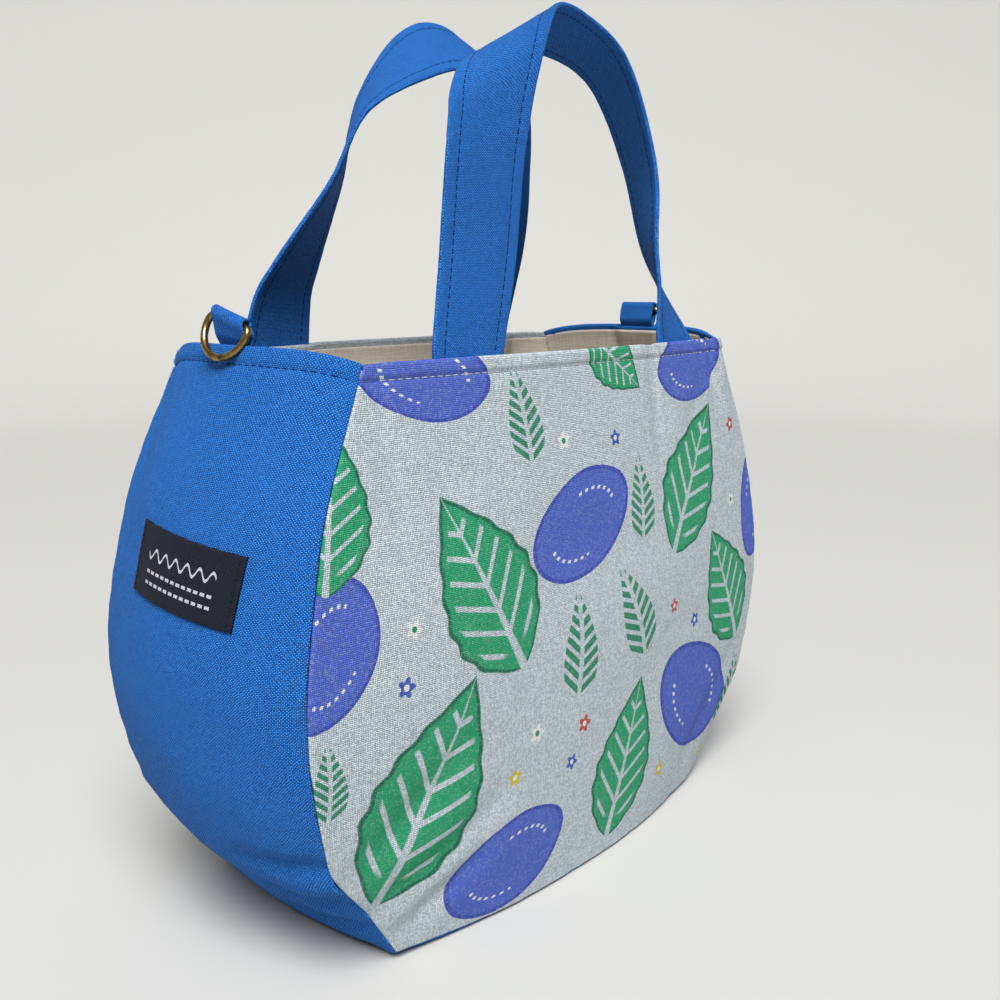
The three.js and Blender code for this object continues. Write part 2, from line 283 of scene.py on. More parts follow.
def add_node(tree, kind, inputs=None, **settings):
    made = tree.nodes.new("ShaderNode" + kind)
    for key, value in settings.items():
        setattr(made, key, value)
    for socket, value in (inputs or {}).items():
        if isinstance(value, bpy.types.NodeSocket):
            tree.links.new(value, made.inputs[socket])
        else:
            made.inputs[socket].default_value = value
    return made


def maths(tree, operation, *values):
    return add_node(tree, "Math", dict(enumerate(values)), operation=operation).outputs[0]


def times(tree, a, b):
    return maths(tree, "MULTIPLY", a, b)


def fade(tree, value, low, high):
    """0 at low and 1 at high, smooth between."""
    made = add_node(
        tree, "MapRange", {0: value, 1: low, 2: high}, interpolation_type="SMOOTHSTEP"
    )
    return made.outputs[0]


def tint(tree, share, a, b):
    made = add_node(tree, "Mix", {0: share, 6: a, 7: b}, data_type="RGBA")
    return made.outputs[2]


def new_material(name):
    material = bpy.data.materials.new(name)
    material.use_nodes = True
    return material, material.node_tree, material.node_tree.nodes["Principled BSDF"]


def coat(piece, material):
    piece.data.materials.clear()
    piece.data.materials.append(material)


def flat_measure(tree):
    """Millimetres on the cloth when it is laid flat, from its UV map."""
    uv = add_node(tree, "UVMap", uv_map="UVMap").outputs[0]
    centred = (-flat_span / 2, -flat_span / 2, 0)
    return add_node(
        tree, "Mapping", {"Vector": uv, "Location": centred, "Scale": (flat_span,) * 3}
    ).outputs[0]


def effect(name, inputs, outputs):
    """Empty node group with the named sockets, and its input and output nodes."""
    tree = bpy.data.node_groups.new(name, "ShaderNodeTree")
    for label, kind in inputs:
        tree.interface.new_socket(label, in_out="INPUT", socket_type=f"NodeSocket{kind}")
    for label, kind in outputs:
        tree.interface.new_socket(label, in_out="OUTPUT", socket_type=f"NodeSocket{kind}")
    return tree, tree.nodes.new("NodeGroupInput").outputs, tree.nodes.new("NodeGroupOutput").inputs


def axes(tree, vector):
    parts = add_node(tree, "SeparateXYZ", {0: vector}).outputs
    return parts[0], parts[1]


def mid_step(tree, value):
    """How far a value lies from the middle of its whole step, from 0 to 0.5."""
    return maths(tree, "ABSOLUTE", maths(tree, "SUBTRACT", maths(tree, "FRACT", value), 0.5))


def leaf_bow(tree, along, fullness):
    """Half outline of a leaf: 0 at its stalk and tip, and 1 where it is widest."""
    held = maths(tree, "MINIMUM", maths(tree, "MAXIMUM", along, 0.0), 1.0)
    return maths(tree, "SINE", times(tree, maths(tree, "POWER", held, fullness), math.pi))


def streaks(tree, flat, across, along, seed):
    """Noise drawn out along the threads of a cloth, from about 0 to 1."""
    at = add_node(
        tree, "Mapping", {"Vector": flat, "Location": (seed, seed, 0), "Scale": (across, along, 1)}
    ).outputs[0]
    return add_node(
        tree, "TexNoise", {"Vector": at, "Scale": 1.0, "Detail": 2.0}, noise_dimensions="2D"
    ).outputs[0]


# Plain weave: threads that pass over and under each other, with thick and thin places
weave, given, result = effect(
    "weave",
    [("Flat", "Vector"), ("Pitch", "Float")],
    [("Height", "Float"), ("Over", "Float"), ("Slub", "Float"), ("Grain", "Float")],
)
shaken = add_node(
    weave, "TexNoise", {"Vector": given["Flat"], "Scale": 0.45, "Detail": 1.0}, noise_dimensions="2D"
).outputs[1]
shift = add_node(weave, "VectorMath", {0: shaken, 1: (0.5, 0.5, 0)}, operation="MULTIPLY").outputs[0]
bent = add_node(weave, "VectorMath", {0: given["Flat"], 1: shift}, operation="ADD").outputs[0]
warp, weft = axes(weave, bent)
half_turn = maths(weave, "DIVIDE", math.pi, given["Pitch"])
waves = [
    maths(weave, "SINE", times(weave, thread, half_turn)) for thread in (warp, weft)
]
crossing = times(weave, *waves)
weave.links.new(maths(weave, "POWER", maths(weave, "ABSOLUTE", crossing), 0.5), result["Height"])
weave.links.new(maths(weave, "MULTIPLY_ADD", crossing, 0.5, 0.5), result["Over"])
thick_thin = maths(
    weave, "ADD", streaks(weave, given["Flat"], 0.11, 1.7, 3), streaks(weave, given["Flat"], 1.7, 0.11, 8)
)
weave.links.new(times(weave, thick_thin, 0.5), result["Slub"])
cells = add_node(weave, "VectorMath", {0: bent, 1: given["Pitch"]}, operation="DIVIDE").outputs[0]
cells = add_node(weave, "VectorMath", {0: cells}, operation="FLOOR").outputs[0]
grain = add_node(weave, "TexWhiteNoise", {"Vector": cells}, noise_dimensions="2D").outputs["Value"]
weave.links.new(grain, result["Grain"])

# Printed leaf in its own measure: 0 at the stalk and 1 at the tip along X
leaf, given, result = effect(
    "printed_leaf", [("Spot", "Vector")], [("Fill", "Float"), ("Edge", "Float"), ("Veins", "Float")]
)
along, off = axes(leaf, given["Spot"])
off = maths(leaf, "ABSOLUTE", off)
wavy = maths(leaf, "MULTIPLY_ADD", maths(leaf, "SINE", times(leaf, along, 44.0)), 0.01, 0.3)
inside = maths(leaf, "SUBTRACT", times(leaf, leaf_bow(leaf, along, 0.75), wavy), off)
filled = fade(leaf, inside, 0.0, 0.012)
leaf.links.new(filled, result["Fill"])
leaf.links.new(maths(leaf, "SUBTRACT", filled, fade(leaf, inside, 0.022, 0.034)), result["Edge"])
rib = fade(leaf, maths(leaf, "MULTIPLY_ADD", along, -0.024, 0.03), off, maths(leaf, "ADD", off, 0.01))
slanted = times(leaf, maths(leaf, "MULTIPLY_ADD", off, -0.85, along), 7.0)
beside = mid_step(leaf, slanted)
branch = times(leaf, fade(leaf, beside, 0.14, 0.09), fade(leaf, inside, 0.05, 0.07))
short = times(leaf, branch, fade(leaf, along, 0.12, 0.16))
veins = times(leaf, maths(leaf, "MAXIMUM", rib, short), filled)
leaf.links.new(veins, result["Veins"])

# Printed pebble: a rounded blot with a darker edge and a broken ring of dashes
pebble, given, result = effect(
    "printed_pebble", [("Spot", "Vector")], [("Fill", "Float"), ("Edge", "Float"), ("Dashes", "Float")]
)
a, b = axes(pebble, given["Spot"])
far = add_node(pebble, "VectorMath", {0: given["Spot"]}, operation="LENGTH").outputs["Value"]
wobble = add_node(
    pebble, "TexNoise", {"Vector": given["Spot"], "Scale": 0.9, "Detail": 0.0}, noise_dimensions="2D"
).outputs[0]
rounded = maths(pebble, "MULTIPLY_ADD", wobble, 0.16, maths(pebble, "SUBTRACT", far, 0.08))
filled = fade(pebble, rounded, 1.0, 0.985)
pebble.links.new(filled, result["Fill"])
pebble.links.new(times(pebble, filled, fade(pebble, rounded, 0.91, 0.94)), result["Edge"])
angle = maths(pebble, "ARCTAN2", b, a)
gap = maths(pebble, "ABSOLUTE", maths(pebble, "SUBTRACT", rounded, 0.62))
tick = mid_step(pebble, times(pebble, angle, 4.5))
part = maths(pebble, "SINE", times(pebble, angle, 2.0))
dashes = times(pebble, fade(pebble, gap, 0.035, 0.02), fade(pebble, tick, 0.26, 0.2))
pebble.links.new(times(pebble, dashes, fade(pebble, part, 0.1, 0.2)), result["Dashes"])

# Printed frond: short brush strokes in pairs along a stalk
frond, given, result = effect("printed_frond", [("Spot", "Vector")], [("Strokes", "Float")])
along, off = axes(frond, given["Spot"])
bowed = times(frond, times(frond, along, along), 0.16)
off = maths(frond, "ABSOLUTE", maths(frond, "SUBTRACT", off, bowed))
inside = maths(frond, "SUBTRACT", times(frond, leaf_bow(frond, along, 0.6), 0.24), off)
slanted = times(frond, maths(frond, "MULTIPLY_ADD", off, -0.7, along), 8.5)
beside = mid_step(frond, slanted)
stroke = times(frond, fade(frond, beside, 0.33, 0.26), fade(frond, inside, 0.0, 0.01))
frond.links.new(times(frond, stroke, fade(frond, off, 0.022, 0.034)), result["Strokes"])

# Printed blossom: five petals round a dot
blossom, given, result = effect(
    "printed_blossom", [("Spot", "Vector")], [("Petals", "Float"), ("Heart", "Float")]
)
a, b = axes(blossom, given["Spot"])
far = add_node(blossom, "VectorMath", {0: given["Spot"]}, operation="LENGTH").outputs["Value"]
petal = maths(blossom, "COSINE", times(blossom, maths(blossom, "ARCTAN2", b, a), 5.0))
reach = maths(blossom, "MULTIPLY_ADD", petal, 0.2, 0.8)
blossom.links.new(fade(blossom, maths(blossom, "SUBTRACT", reach, far), 0.0, 0.08), result["Petals"])
blossom.links.new(fade(blossom, far, 0.34, 0.26), result["Heart"])

# The whole print: each motif by its place on the cloth, its turn in degrees and its size
leaves = [
    (-96, 22, 62, 74), (-40, 84, 118, 66), (8, 6, 74, 60), (46, 104, 58, 62), (104, 56, 118, 58),
    (-112, 120, 80, 46), (0, 186, -35, 36),
]
pebbles = [
    (-8, 124, 20, 27, 17), (68, 42, -32, 33, 21), (-112, 104, 60, 22, 15), (-44, 18, 15, 26, 16),
    (66, 172, 8, 24, 14), (-72, 176, -12, 25, 13), (118, 112, 80, 24, 15),
]
fronds = [
    (-14, 66, 80, 38), (26, 70, 104, 40), (-32, 146, 92, 32), (26, 112, 84, 32), (-114, 56, 82, 25),
    (100, 12, 70, 38),
]
blossoms = {
    "White": [(-34, 60, 3.4), (-16, 152, 3.2), (94, 116, 3.0), (-84, 106, 3.0)],
    "Red": [(-10, 56, 3.4), (46, 84, 3.0), (96, 146, 3.2)],
    "Yellow": [(42, 20, 3.2), (-44, 48, 3.0), (84, 10, 3.0)],
    "Blue": [(-88, 90, 3.4), (12, 150, 3.0), (64, 74, 3.2), (-16, 44, 3.0)],
}
leafy_print, given, result = effect(
    "leafy_print", [("Flat", "Vector"), ("Ground", "Color")], [("Color", "Color"), ("Ink", "Float")]
)


def printed(group, x, y, turn, length, width):
    """One motif's outputs, placed on the cloth."""
    at = add_node(
        leafy_print,
        "Mapping",
        {"Vector": given["Flat"], "Location": (x, y, 0), "Rotation": (0, 0, math.radians(turn)),
         "Scale": (length, width, 1)},
        vector_type="TEXTURE",
    ).outputs[0]
    placed = add_node(leafy_print, "Group", node_tree=group)
    leafy_print.links.new(at, placed.inputs["Spot"])
    return placed.outputs


def all_of(masks):
    found = masks[0]
    for mask in masks[1:]:
        found = maths(leafy_print, "MAXIMUM", found, mask)
    return found


drawn_leaves = [printed(leaf, x, y, turn, size, size) for x, y, turn, size in leaves]
drawn_pebbles = [printed(pebble, *place) for place in pebbles]
drawn_fronds = [printed(frond, x, y, turn, size, size) for x, y, turn, size in fronds]
layers = [
    (all_of([p["Fill"] for p in drawn_pebbles]), "5068cc"),
    (all_of([p["Edge"] for p in drawn_pebbles]), "3a4cb4"),
    (all_of([p["Dashes"] for p in drawn_pebbles]), "e8ecec"),
    (all_of([p["Strokes"] for p in drawn_fronds]), "2f8a66"),
    (all_of([p["Fill"] for p in drawn_leaves]), "22a26e"),
    (all_of([p["Edge"] for p in drawn_leaves]), "146a4c"),
    (all_of([p["Veins"] for p in drawn_leaves]), None),
]
petal_colours = {"White": "eef0ee", "Red": "c24a3c", "Yellow": "d9c330", "Blue": "4257ba"}
for kind, places in blossoms.items():
    drawn = [printed(blossom, x, y, 20 * k, size, size) for k, (x, y, size) in enumerate(places)]
    layers.append((all_of([p["Petals"] for p in drawn]), petal_colours[kind]))
    layers.append((all_of([p["Heart"] for p in drawn]), "2f8a66" if kind == "White" else "eef0ee"))
dye = given["Ground"]
for mask, code in layers:
    dye = tint(leafy_print, mask, dye, given["Ground"] if code is None else colour(code))
leafy_print.links.new(dye, result["Color"])
leafy_print.links.new(all_of([layer[0] for layer in layers]), result["Ink"])


def cloth_material(name, pitch):
    """New material, its weave in the cloth's own flat measure, and its shader."""
    material, tree, shader = new_material(name)
    flat = flat_measure(tree)
    woven = add_node(tree, "Group", node_tree=weave)
    tree.links.new(flat, woven.inputs["Flat"])
    woven.inputs["Pitch"].default_value = pitch
    shader.inputs["Specular IOR Level"].default_value = 0.12
    return material, tree, shader, flat, woven.outputs


def raise_threads(tree, shader, height, distance, strength):
    bump = add_node(tree, "Bump", {"Height": height, "Distance": distance * mm, "Strength": strength})
    tree.links.new(bump.outputs[0], shader.inputs["Normal"])


print_turns = {"front": 0.0, "back": math.pi}
print_shifts = {"front": 0, "back": 182}
for name, cloth in panels.items():
    linen, tree, shader, flat, threads = cloth_material(f"printed_linen_{name}", linen_pitch)
    turn, shift = (0, 0, print_turns[name]), (0, print_shifts[name], 0)
    place = add_node(tree, "Mapping", {"Vector": flat, "Rotation": turn, "Location": shift}).outputs[0]
    slub = fade(tree, threads["Slub"], 0.36, 0.64)
    grain = maths(tree, "MULTIPLY_ADD", threads["Grain"], 0.75, times(tree, slub, 0.25))
    ground = tint(tree, grain, colour("a9b5bc"), colour("dde8ee"))
    inked = add_node(tree, "Group", node_tree=leafy_print)
    tree.links.new(place, inked.inputs["Flat"])
    tree.links.new(ground, inked.inputs["Ground"])
    # Painted shade: the print is darkened towards grey in the gaps between the threads, where shade falls
    # among them.
    thread_gap_shade = times(tree, fade(tree, threads["Height"], 0.75, 0.2), 0.45)
    gap_shaded_print = tint(tree, thread_gap_shade, inked.outputs["Color"], colour("56616c"))
    bare = times(tree, fade(tree, threads["Grain"], 0.55, 1.0), 0.12)
    tree.links.new(tint(tree, bare, gap_shaded_print, colour("d2dce0")), shader.inputs["Base Color"])
    tree.links.new(maths(tree, "MULTIPLY_ADD", threads["Slub"], -0.2, 0.98), shader.inputs["Roughness"])
    relief = maths(tree, "MULTIPLY_ADD", threads["Slub"], 0.5, threads["Height"])
    raise_threads(tree, shader, relief, 0.3, 0.9)
    coat(cloth, linen)
    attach(cloth, "bag")
    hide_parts(f"{name}_panel")

# Side strip
# One strip of blue canvas makes both gussets and the base, with no seam between them. Its long edges are
# sewn to the panels, and it bends round under the bag, so that its edges stand a little off the floor.

gusset_swell = smooth_curve([(0, 5), (85, 13), (rim, 11)])
rim_rise = 4.0
foot_half = half_width(0)
swell_skew = 0.22
seam_slant = 0.89
bend_slope, bend_rise, bend_soft = 0.48, 0.88, 2.6
tab_half, tab_room = 7.5, 1.9
canvas_pitch = 0.45


def edge_lift(away, z):
    """How high the strip stands off the floor beside its seam."""
    return seam_lift * (1 - z / rim) * math.exp(-((away / (5 + 4 * ease(0, 25, z))) ** 2))


def gusset_face(y, z, side):
    t = y / half_depth(z)
    lift = rim_rise * (z / rim) ** 4 * (1 - t ** 4) + edge_lift(half_depth(z) - abs(y), z)
    swell = gusset_swell(z) * (1 - t * t) * (1 - swell_skew * t)
    return Vector((side * (half_width(z) + swell), y, z + lift))


def bend_in(away, side):
    """The strip bends softly, not sharply, where a gusset runs into the base."""
    round_off = math.sqrt((bend_slope * away) ** 2 + bend_soft ** 2) - bend_slope * away
    return Vector((-bend_slope * side, 0, bend_rise)) * round_off


left_creases = [
    ((-54, 42), (-16, 40), 3.5, 3.0),
    ((-54, 36), (-30, 30), 3.0, -1.4),
    ((-52, 26), (-6, 24), 4.0, 2.8),
    ((-50, 13), (-12, 12), 3.5, 2.4),
    ((-50, 186), (-40, 140), 5.0, 1.0),
    ((42, 184), (34, 130), 5.0, 1.4),
    ((50, 44), (14, 36), 5.0, 1.4),
    ((-44, 74), (10, 82), 12.0, 1.2),
]


def gusset_relief(y, z, side):
    beside = half_depth(z) - abs(y)
    soft = 0.7 * ripple(y / 40, z / 48, 13 * side) + 0.25 * ripple(y / 15, z / 18, 5 * side)
    pucker = 0.4 * ripple(9 * side + math.copysign(4, y), z / 6, 2) * math.exp(-beside / 6)
    mirrored = y if side < 0 else -y
    folds = sum(crease(mirrored, z, *line) for line in left_creases)
    return (soft * ease(0, 12, beside) + pucker) * (1 - ease(rim - 4, rim, z)) + folds * ease(-2, 8, z)


def strip_spot(u, v):
    side, h, flat = v
    if side == 0:
        wide = half_depth(0) + panel_swell(0) * (1 - h * h)
        y, deep = along_seam(u, wide)
        across = y / wide
        lip = edge_lift(wide - abs(y), 0) * toward_corner(h)
        swell = gusset_swell(0) * (1 - across * across) * (1 - swell_skew * across)
        spot = Vector((h * (foot_half + swell), y, lip + deep))
        bend = bend_in((1 - abs(h)) * foot_half, math.copysign(1, h)) * ease(0, 9, wide - abs(y))
        return spot + bend, Vector((0, 0, -1)), (y, flat)
    half = half_depth(min(h, rim))
    y, deep = along_seam(u, half, seam_slant, ease(rim - rim_roll, roll_end, h), seam_tuck(h))
    spot, out = rolled_cloth(gusset_face, y, h, side, side)
    relief = gusset_relief(y, min(h, rim), side) * (1 - ease(rim, roll_end, h)) + rim_relief(h, y)
    bend = bend_in(1.19 * h, side) * ease(0, 9, half - abs(y)) * (1 - ease(30, 60, h))
    aside = Vector((-side * tab_room * slot_at(y, tab_half) * ease(rim + 0.2, rim + 1.6, h), 0, 0))
    return spot + out * (relief - deep) + bend + aside, out, (y, flat)


gusset_rows = span(0, 24, 20)[:-1] + span(24, rim - 12, 66)[:-1] + span(rim - 12, rim - rim_roll, 20)
gusset_rows += rim_rows + inner_rows
base_rows = span(-1, -0.8, 18)[1:-1] + span(-0.8, 0.8, 40) + span(0.8, 1, 18)[1:-1]
strip_rows = [(-1, h, -foot_half - h) for h in reversed(gusset_rows)]
strip_rows += [(0, along, along * foot_half) for along in base_rows]
strip_rows += [(1, h, foot_half + h) for h in gusset_rows]
strip = cloth_sheet("canvas_strip", across_stations(56), strip_rows, strip_spot)
thicken(strip, cloth_thick)

canvas, tree, shader, flat, threads = cloth_material("blue_canvas", canvas_pitch)
mottled = add_node(
    tree, "TexNoise", {"Vector": flat, "Scale": 0.05, "Detail": 3.0}, noise_dimensions="2D"
).outputs[0]
# Painted highlight: threads lying on top are painted a lighter blue and those beneath a darker blue, mixed
# with a random tone for each thread crossing.
lit_and_grain = maths(tree, "MULTIPLY_ADD", threads["Over"], 0.65, times(tree, threads["Grain"], 0.35))
lit_and_grain_blue = tint(tree, fade(tree, lit_and_grain, 0.25, 0.75), colour("1a539f"), colour("3b90f0"))
lit_and_mottled_blue = tint(tree, times(tree, fade(tree, mottled, 0.35, 0.75), 0.3), lit_and_grain_blue, colour("2f7ad6"))
# Painted shade: the gaps between the threads are darkened to navy.
thread_gap_shade = times(tree, fade(tree, threads["Height"], 0.75, 0.2), 0.85)
tree.links.new(tint(tree, thread_gap_shade, lit_and_mottled_blue, colour("0c2b62")), shader.inputs["Base Color"])
tree.links.new(maths(tree, "MULTIPLY_ADD", threads["Over"], -0.15, 0.9), shader.inputs["Roughness"])
raise_threads(tree, shader, threads["Height"], 0.3, 0.9)
coat(strip, canvas)
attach(strip, "bag")
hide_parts("side_strip")

# Woven label
# A label of near-black twill, woven with a plain wavy line over two rows of dashes. Its ends are folded
# under, and it is sewn flat to the left gusset near its front edge.

label_wide, label_tall, label_thick = 47.0, 19.7, 0.8
label_middle, label_shift, label_tilt = 121.3, -5.4, math.radians(4)
wave_pitch, dash_pitch, dash_rows = 5.2, 2.6, (2.2, 5.2)


def label_spot(u, v):
    """Points across the label's rounded section, from its back round to its face."""
    y = label_shift + u[0] * math.cos(label_tilt) - v[0] * math.sin(label_tilt)
    z = label_middle + v[0] * math.cos(label_tilt) + u[0] * math.sin(label_tilt)
    up = min(u[1], v[1])
    curl = 0.25 * ripple(u[0] / 9, v[0] / 9, 4)
    face = gusset_face(y, z, -1)
    out = (gusset_face(y, z + 0.5, -1) - gusset_face(y, z - 0.5, -1)).cross(
        gusset_face(y + 0.5, z, -1) - gusset_face(y - 0.5, z, -1)).normalized()
    lie = gusset_relief(y, z, -1)
    return face + out * (lie + 0.15 + label_thick * up + max(curl, 0) * up), out, (u[0], v[0])


def label_stations(half, count):
    edge = [(-half, 0.0), (-half + 0.05, 0.55), (-half + 0.3, 0.9), (-half + 0.9, 1.0)]
    middle = [(a, 1.0) for a in span(-half + 1.8, half - 1.8, count)]
    return edge + middle + [(-a, b) for a, b in reversed(edge)]


across_label = label_stations(label_wide / 2, 44)
down_label = label_stations(label_tall / 2, 22)[::-1]
label = cloth_sheet("woven_label_cloth", across_label, down_label, label_spot)
thicken(label, 0.1)
twill, tree, shader = new_material("label_twill")
a, b = axes(tree, flat_measure(tree))
rib = maths(tree, "SINE", times(tree, maths(tree, "ADD", a, b), 2 * math.pi / 0.8))
cross = maths(tree, "SINE", times(tree, maths(tree, "SUBTRACT", a, b), 2 * math.pi / 0.4))
thread = maths(tree, "MULTIPLY_ADD", cross, 0.3, rib)
dark = tint(tree, fade(tree, thread, -0.9, 1.1), colour("06080f"), colour("1e2536"))
wave = maths(tree, "SINE", times(tree, a, 2 * math.pi / wave_pitch))
wavy = maths(tree, "SUBTRACT", b, maths(tree, "MULTIPLY_ADD", wave, 1.3, 2.6))
dash = mid_step(tree, maths(tree, "DIVIDE", a, dash_pitch))
off_rows = [maths(tree, "ABSOLUTE", maths(tree, "ADD", b, low)) for low in dash_rows]
rows = maths(tree, "MINIMUM", *off_rows)
marks = maths(
    tree, "MAXIMUM", fade(tree, maths(tree, "ABSOLUTE", wavy), 0.5, 0.35),
    times(tree, fade(tree, rows, 0.5, 0.35), fade(tree, dash, 0.36, 0.3)),
)
within = fade(tree, maths(tree, "ABSOLUTE", a), 15.7, 15.5)
woven = times(tree, times(tree, marks, within), fade(tree, thread, -1.2, -0.6))
tree.links.new(tint(tree, woven, dark, colour("c9cfd6")), shader.inputs["Base Color"])
tree.links.new(maths(tree, "MULTIPLY_ADD", thread, -0.08, 0.7), shader.inputs["Roughness"])
shader.inputs["Specular IOR Level"].default_value = 0.2
raise_threads(tree, shader, thread, 0.12, 0.6)
coat(label, twill)
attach(label, "bag")
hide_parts("woven_label")

# Strap handles
# Each handle is one strip of the blue canvas, folded into a flat strap and topstitched along both edges.
# Its ends are sewn into the rim between the outer cloth and the lining.

strap_thick, strap_slant, strap_step = 1.6, 0.8, 1.3
fold_inset, handle_rise = 2.6, 108.0
strap_stitch = strap_half - 4.2
root_turns = {"front": (0, 174), "back": (4, 178)}
# Places along each handle: x, y, share of its rise, turn of its width in degrees, and tilt of its width
handle_places = {
    "front": [
        (-46, -43.5, 0.28, 6, 0), (-42, -44, 0.6, 8, 0.1), (-35, -42, 0.775, 16, 0.55),
        (-13.5, -30, 0.905, 75, 0.42), (11.5, -27, 0.94, 116, 0.2), (38, -27, 0.865, 119, 0.1),
        (55.5, -30, 0.58, 123, 0), (56, -35, 0.31, 136, 0), (57, -39, 0.185, 146, 0),
    ],
    "back": [
        (-51, 42, 0.165, 13, 0), (-48, 38, 0.26, 23, 0), (-39, 28, 0.49, 44, 0),
        (-32.5, 19, 0.74, 56, 0.25), (-6, 12, 0.925, 75, 0.8), (22, 12, 0.89, 95, 0.6),
        (37, 25, 0.545, 115, 0), (52, 43.5, 0.125, 166, 0),
    ],
}


def through(points, t):
    """Point at share t of a smooth curve through the points, which slows in its short spans."""
    ends = [points[0] * 2 - points[1]] + points + [points[-1] * 2 - points[-2]]
    i = min(int(t * (len(points) - 1)), len(points) - 2)
    f = t * (len(points) - 1) - i
    p = ends[i:i + 4]
    d = [math.sqrt((b - a).length) for a, b in zip(p, p[1:])]
    m1 = ((p[1] - p[0]) / d[0] - (p[2] - p[0]) / (d[0] + d[1]) + (p[2] - p[1]) / d[1]) * d[1]
    m2 = ((p[2] - p[1]) / d[1] - (p[3] - p[1]) / (d[1] + d[2]) + (p[3] - p[2]) / d[2]) * d[1]
    bend = (p[2] * 3 - p[1] * 3 - m1 * 2 - m2) * f * f
    return p[1] + m1 * f + bend + (p[1] * 2 - p[2] * 2 + m1 + m2) * f ** 3


def strap_path(side, feet, root_turn, places):
    """Middle line of a strap as (point, direction of its width) pairs, from one sewn end to the other."""
    roots = [Vector((x, panel_face(x, rim, side).y - side * fold_inset, rim)) for x in feet]
    between = [Vector((x, y, rim + share * handle_rise)) for x, y, share, _, _ in places]
    points = [roots[0]] + between + [roots[1]]
    last = len(points) - 1
    turns = [root_turn[0]] + [place[3] for place in places] + [root_turn[1]]
    tips = [0] + [place[4] for place in places] + [0]
    turn = smooth_curve([(k / last, math.radians(angle)) for k, angle in enumerate(turns)])
    tip = smooth_curve([(k / last, lean) for k, lean in enumerate(tips)])
    line = []
    for t in span(0, 1, 240):
        line.append((through(points, t), Vector((math.cos(turn(t)), side * math.sin(turn(t)), tip(t)))))
    for hand, x in zip((-1, 1), feet):
        sewn = []
        straight = 0 if hand < 0 else math.pi
        for z in span(rim - 12, rim - 1.0, 8):
            a = straight + (math.radians(root_turn[hand > 0]) - straight) * ease(rim - 12, rim, z)
            spot = Vector((x, panel_face(x, z, side).y - side * fold_inset, z))
            sewn.append((spot, Vector((math.cos(a), side * math.sin(a), 0))))
        line = sewn + line if hand < 0 else line + sewn[::-1]
    return line


def even_path(line, pitch):
    """The middle line in even steps: point, forward, width and face directions, and length so far."""
    length = [0.0]
    for (a, _), (b, _) in zip(line, line[1:]):
        length.append(length[-1] + (b - a).length)
    count = max(2, round(length[-1] / pitch))
    stations, k = [], 0
    for at in span(0, length[-1], count):
        while k < len(line) - 2 and length[k + 1] < at:
            k += 1
        f = (at - length[k]) / max(length[k + 1] - length[k], 1e-9)
        stations.append((line[k][0].lerp(line[k + 1][0], f), line[k][1].lerp(line[k + 1][1], f), at))
    for _ in range(50):
        widths = [width for _, width, _ in stations]
        for k in range(1, count):
            eased = (widths[k - 1] + widths[k] * 2 + widths[k + 1]) / 4
            stations[k] = (stations[k][0], eased, stations[k][2])
    framed = []
    for k, (spot, across, at) in enumerate(stations):
        before, after = stations[max(k - 2, 0)][0], stations[min(k + 2, count)][0]
        forward = (after - before).normalized()
        across = across.normalized()
        face = across.cross(forward)
        longer = ((1 + strap_slant ** 6) / (face.length ** 6 + strap_slant ** 6)) ** (1 / 6)
        framed.append((spot, forward, across * longer, face.normalized(), at))
    return framed


def strap_half_thick(off):
    """Half a strap's thickness at a distance from its middle: thin at its folds, drawn in at stitches."""
    fold = math.sqrt(max(1 - max(abs(off) / strap_half - 0.955, 0) ** 2 / 0.045 ** 2, 0))
    drawn = 0.22 * math.exp(-((abs(off) - strap_stitch) / 0.9) ** 2)
    return max(strap_thick / 2 * fold - drawn, 0.02)


half_section = [
    -strap_half, -14.7, -14.55, -14.3, -13.6, -12.6, -11.6, -11.0, -10.55, -10.1, -9.5, -8, -5.5, -2.8, 0
]
section = half_section + [-off for off in reversed(half_section[:-1])]
strap_ring = [(off, 1) for off in section] + [(off, -1) for off in reversed(section)]


def strap_spot(u, v):
    spot, _, across, face, at = v
    off, sign = u
    pucker = 0.12 * ripple(at / 3.3, off / 5, 6) + 0.3 * ripple(at / 26, off / 30, 9)
    pucker *= ease(rim, rim + 8, spot.z)
    edge = 1 + 0.006 * ripple(at / 9, math.copysign(2, off), 3)
    above = face * (sign * strap_half_thick(off) + pucker)
    return spot + across * off * edge + above, face * sign, (off + 60 * sign, at)


handles = {}
for side, name in ((-1, "front"), (1, "back")):
    middle = strap_path(side, strap_feet[name], root_turns[name], handle_places[name])
    path = even_path(middle, strap_step)
    strap = cloth_sheet(f"{name}_strap", strap_ring + strap_ring[:1], path, strap_spot)
    bpy.ops.object.mode_set(mode="EDIT")
    bpy.ops.mesh.select_all(action="SELECT")
    bpy.ops.mesh.remove_doubles(threshold=0.00002)
    bpy.ops.mesh.fill_holes(sides=0)
    bpy.ops.mesh.normals_make_consistent(inside=False)
    bpy.ops.object.mode_set(mode="OBJECT")
    coat(strap, canvas)
    length = path[-1][4] * mm
    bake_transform(strap)
    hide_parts(f"{name}_handle", f"{name}_strap_end_left", f"{name}_strap_end_right")
    handles[name] = (strap, path)

# Lining
# A plain ivory cotton bag with wadding behind it, sewn together from a front, a back and a strip. Its top is
# sewn to the turned-in rim, and it is full round the sewn strap ends.

lining_top = rim - rolled_in + 0.6
lining_deep = 3.9
lining_close, strap_fullness = 1.7, 3.4
lining_floor, floor_inset = 2.4, 3.6
cotton_pitch = 0.5


def lining_inset(z, around_strap):
    drop = lining_top - z
    start = lining_close + strap_fullness * around_strap
    return start + (lining_deep - start) * ease(9 * around_strap, 12 + 9 * around_strap, drop)


